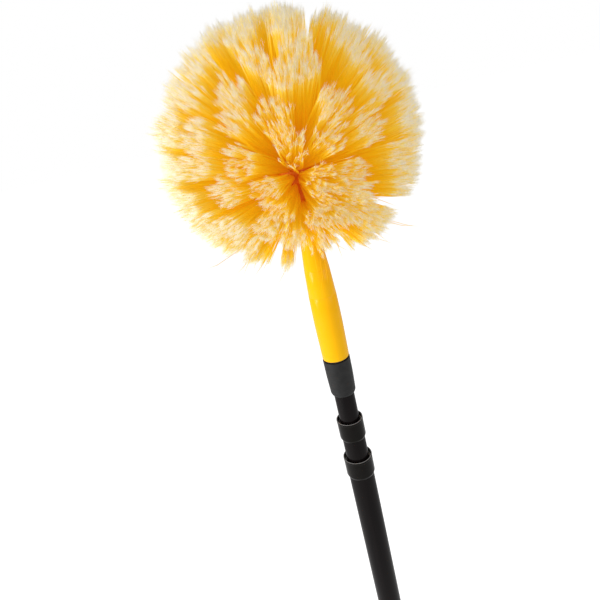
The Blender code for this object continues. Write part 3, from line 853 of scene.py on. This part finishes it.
def join_parts(name, parts, material):
    """One mesh from several sets of filaments. Its OFBake map holds each one's shade and its length."""
    all_vertices = []
    loops = []
    totals = []
    us = []
    vs = []
    base = 0
    for vertices, quads, quad_v, tris, tri_v, per, ids in parts:
        count = len(vertices)
        all_vertices.append(vertices.reshape(-1, 3))
        starts = base + np.arange(count) * per
        for faces, along, corners in ((quads, quad_v, 4), (tris, tri_v, 3)):
            if len(faces) == 0:
                continue
            table = starts[:, None, None] + faces[None, :, :]
            loops.append(table.reshape(-1))
            totals.append(np.full(count * len(faces), corners))
            us.append(np.repeat(ids, len(faces) * corners))
            vs.append(np.tile(along.reshape(-1), count))
        base += count * per
    vertices = np.concatenate(all_vertices)
    loops = np.concatenate(loops)
    totals = np.concatenate(totals)
    mesh = bpy.data.meshes.new(name)
    mesh.vertices.add(len(vertices))
    mesh.vertices.foreach_set("co", vertices.astype(np.float32).reshape(-1))
    mesh.loops.add(len(loops))
    mesh.loops.foreach_set("vertex_index", loops.astype(np.int32))
    mesh.polygons.add(len(totals))
    starts = np.concatenate([[0], np.cumsum(totals)[:-1]])
    mesh.polygons.foreach_set("loop_start", starts.astype(np.int32))
    mesh.polygons.foreach_set("loop_total", totals.astype(np.int32))
    uv = mesh.uv_layers.new(name="OFBake")
    flat = np.stack([np.concatenate(us), np.concatenate(vs)], axis=1)
    uv.data.foreach_set("uv", flat.astype(np.float32).reshape(-1))
    mesh.polygons.foreach_set("use_smooth", np.ones(len(totals), bool))
    mesh.update()
    mesh.materials.append(material)
    obj = bpy.data.objects.new(name, mesh)
    bpy.context.scene.collection.objects.link(obj)
    return obj


def row_parts(tufts, rng, centre):
    """The filaments of one row, and the branches that their tips split into."""
    starts, middles, flags, ends = [], [], [], []
    for tuft in tufts:
        start, middle, flag, end = tuft_strands(tuft, rng)
        starts.append(start)
        middles.append(middle)
        flags.append(flag)
        ends.append(end)
    start, middle, flag, end = (np.concatenate(part) for part in (starts, middles, flags, ends))
    count = len(start)
    ids = rng.uniform(0.02, 0.98, count)
    place = np.array([0.0, 0.0, centre])
    paths = np.stack([start, middle, flag, end], axis=1) + place
    radii = np.array([FILAMENT_RADIUS, FILAMENT_RADIUS, FILAMENT_RADIUS, 0.0])
    parts = [filaments(paths, [0.0, 0.5, FLAG_START, 1.0], radii, ids)]
    for _ in range(FLAGS):
        direction = unit(end - flag)
        a, b = sides_of(direction)
        off = rng.normal(0.0, FLAG_FAN, (count, 2))
        split = rng.uniform(0.0, FLAG_SPLIT_RANGE, count)[:, None]
        base = flag + (end - flag) * split
        shorter = rng.uniform(0.0, FLAG_SHORTER, count)[:, None]
        tip = end + a * off[:, 0:1] + b * off[:, 1:2] - direction * shorter
        branch = np.stack([base, tip], axis=1) + place
        width = np.array([FLAG_RADIUS, 0.0])
        parts.append(filaments(branch, [FLAG_COLOUR_START, 1.0], width, ids))
    return parts


def stray_parts(layout, rng, centre):
    """Single filaments that stand away from their tufts, most of them at the back of the ball."""
    starts, middles, ends = [], [], []
    for _ in range(STRAYS):
        first_row = ROWS - STRAY_BACK_ROWS if rng.random() < STRAY_BACK_CHANCE else STRAY_FIRST_ROW
        row = layout[int(rng.integers(first_row, ROWS))]
        around, radius, height, polar = row[int(rng.integers(len(row)))]
        start = np.array([radius * math.cos(around), radius * math.sin(around), height])
        turned = around + rng.normal(0.0, STRAY_TURN)
        tilted = min(polar + rng.normal(0.0, STRAY_TILT), STRAY_LAST_ANGLE)
        out = np.array([
            math.sin(tilted) * math.cos(turned) * TRIM_RADIUS,
            math.sin(tilted) * math.sin(turned) * TRIM_RADIUS,
            math.cos(tilted) * TRIM_HALF_HEIGHT,
        ])
        direction = (out - start) / np.linalg.norm(out - start)
        length = to_trim(start[None], direction[None], np.zeros(1))[0]
        share = 1.0 if tilted > STRAY_BACK_ANGLE else STRAY_FRONT_SHARE
        reach = rng.uniform(*STRAY_REACH_RANGE) * STRAY_REACH * share
        end = start + direction * (length + reach)
        flat = math.hypot(end[0], end[1])
        limit = TRIM_RADIUS + STRAY_PAST_TRIM
        if flat > limit:
            end = start + (end - start) * (limit / flat)
        bow = rng.normal(0.0, STRAY_BOW, 3)
        starts.append(start)
        middles.append((start + end) / 2 + bow)
        ends.append(end)
    place = np.array([0.0, 0.0, centre])
    start, middle, end = (np.array(part) for part in (starts, middles, ends))
    later = middle * STRAY_MIDDLE + end * (1.0 - STRAY_MIDDLE) + (middle - (start + end) / 2) * STRAY_LATER
    paths = np.stack([start, middle, later, end], axis=1) + place
    ids = rng.uniform(0.02, 0.6, len(start))
    thick = FILAMENT_RADIUS * STRAY_THICKER
    radii = np.array([FILAMENT_RADIUS, thick, thick, 0.0])
    return [filaments(paths, [0.0, 0.1, 0.3, 0.6], radii, ids)]


def make_head(materials):
    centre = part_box("hub_core")[1].z - NOSE_ABOVE_CENTRE
    rng = np.random.default_rng(SEED)
    layout = tuft_layout()
    for number, tufts in enumerate(layout, 1):
        node = f"tuft_row_{number:02d}"
        parts = row_parts(tufts, rng, centre)
        if number == ROWS:
            parts += stray_parts(layout, rng, centre)
        piece = join_parts(f"{node}_filaments", parts, materials["bristle"])
        stand_for(piece, node, "head")


# ---------------------------------------------------------------- studio


def make_floor():
    mesh = bpy.data.meshes.new("floor")
    half = FLOOR_HALF
    corners = [(-half, -half, 0), (half, -half, 0), (half, half, 0), (-half, half, 0)]
    mesh.from_pydata(corners, [], [(0, 1, 2, 3)])
    floor = bpy.data.objects.new("floor", mesh)
    bpy.context.scene.collection.objects.link(floor)
    material, tree, shader = new_material("studio_floor")
    shader.inputs["Base Color"].default_value = (FLOOR_GREY, FLOOR_GREY, FLOOR_GREY, 1.0)
    shader.inputs["Roughness"].default_value = 0.9
    shader.inputs["Specular IOR Level"].default_value = 0.0
    shader.inputs["Emission Color"].default_value = (1.0, 1.0, 1.0, 1.0)
    path = tree.nodes.new("ShaderNodeLightPath")
    lift = tree.nodes.new("ShaderNodeMath")
    lift.operation = "MULTIPLY"
    lift.inputs[1].default_value = FLOOR_LIFT
    tree.links.new(path.outputs["Is Camera Ray"], lift.inputs[0])
    tree.links.new(lift.outputs["Value"], shader.inputs["Emission Strength"])
    mesh.materials.append(material)


def make_world():
    world = bpy.data.worlds.new("studio")
    bpy.context.scene.world = world
    world.use_nodes = True
    tree = world.node_tree
    background = tree.nodes["Background"]
    background.inputs["Color"].default_value = (1.0, 1.0, 1.0, 1.0)
    path = tree.nodes.new("ShaderNodeLightPath")
    seen = tree.nodes.new("ShaderNodeMath")
    seen.operation = "MAXIMUM"
    tree.links.new(path.outputs["Is Camera Ray"], seen.inputs[0])
    tree.links.new(path.outputs["Is Glossy Ray"], seen.inputs[1])
    strength = tree.nodes.new("ShaderNodeMapRange")
    strength.inputs["To Min"].default_value = WORLD_LIGHT
    strength.inputs["To Max"].default_value = 1.0
    tree.links.new(seen.outputs["Value"], strength.inputs["Value"])
    tree.links.new(strength.outputs["Result"], background.inputs["Strength"])


def add_lamp(name, place, target, size, power):
    lamp = bpy.data.lights.new(name, "AREA")
    lamp.shape = "DISK"
    lamp.size = size
    lamp.energy = power
    obj = bpy.data.objects.new(name, lamp)
    obj.location = place
    obj.rotation_euler = (target - Vector(place)).to_track_quat("-Z", "Y").to_euler()
    bpy.context.scene.collection.objects.link(obj)


def make_camera():
    forward = Vector((0.0, math.cos(CAMERA_DOWN), -math.sin(CAMERA_DOWN)))
    level = Vector((1.0, 0.0, 0.0))
    upright = level.cross(forward)
    right = level * math.cos(CAMERA_ROLL) - upright * math.sin(CAMERA_ROLL)
    up = level * math.sin(CAMERA_ROLL) + upright * math.cos(CAMERA_ROLL)
    aim = Vector((0.0, 0.0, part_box("tip_ferrule")[1].z + AIM_ABOVE_FERRULE))
    place = aim - right * AIM_LEFT - up * AIM_DOWN - forward * CAMERA_DISTANCE
    data = bpy.data.cameras.new("camera")
    data.lens = LENS
    data.sensor_width = SENSOR
    data.clip_start = 0.01
    data.clip_end = 100.0
    camera = bpy.data.objects.new("camera", data)
    rotation = Matrix((right, up, -forward)).transposed().to_4x4()
    camera.matrix_world = Matrix.Translation(place) @ rotation
    bpy.context.scene.collection.objects.link(camera)
    bpy.context.scene.camera = camera


def paint_cad(materials):
    """Materials of the CAD nodes that are kept as they are: the twist locks and the hub."""
    lock = {"sleeve": "nylon", "cone": "brass", "stud": "black", "clip": "steel"}
    looks = {f"{part}_lock_{piece}": look for part in ("middle", "inner") for piece, look in lock.items()}
    looks.update(hub_core="orange", hub_pin="steel")
    for node, look in looks.items():
        obj = NODES[node]
        if obj.material_slots:
            for slot in obj.material_slots:
                slot.material = materials[look]
        else:
            obj.data.materials.append(materials[look])


def build():
    make_camera()
    make_world()
    make_floor()
    target = Vector((0.0, 0.0, LAMP_TARGET_HEIGHT))
    add_lamp("key", KEY_PLACE, target, KEY_SIZE, KEY_POWER)
    add_lamp("fill", FILL_PLACE, target, FILL_SIZE, FILL_POWER)
    materials = make_materials()
    paint_cad(materials)
    make_tube("outer_tube", "handle", materials)
    make_tube("middle_tube", "middle_section", materials)
    make_tube("inner_tube", "inner_section", materials)
    make_collar("outer_collar", "middle_tube", "handle", materials)
    make_collar("middle_collar", "inner_tube", "middle_section", materials)
    make_threaded_tip(materials)
    make_end_cap(materials)
    make_ferrule(materials)
    make_socket(materials)
    make_grip(materials)
    make_washer(materials)
    make_head(materials)
    bpy.context.scene.view_settings.view_transform = "Standard"


build()
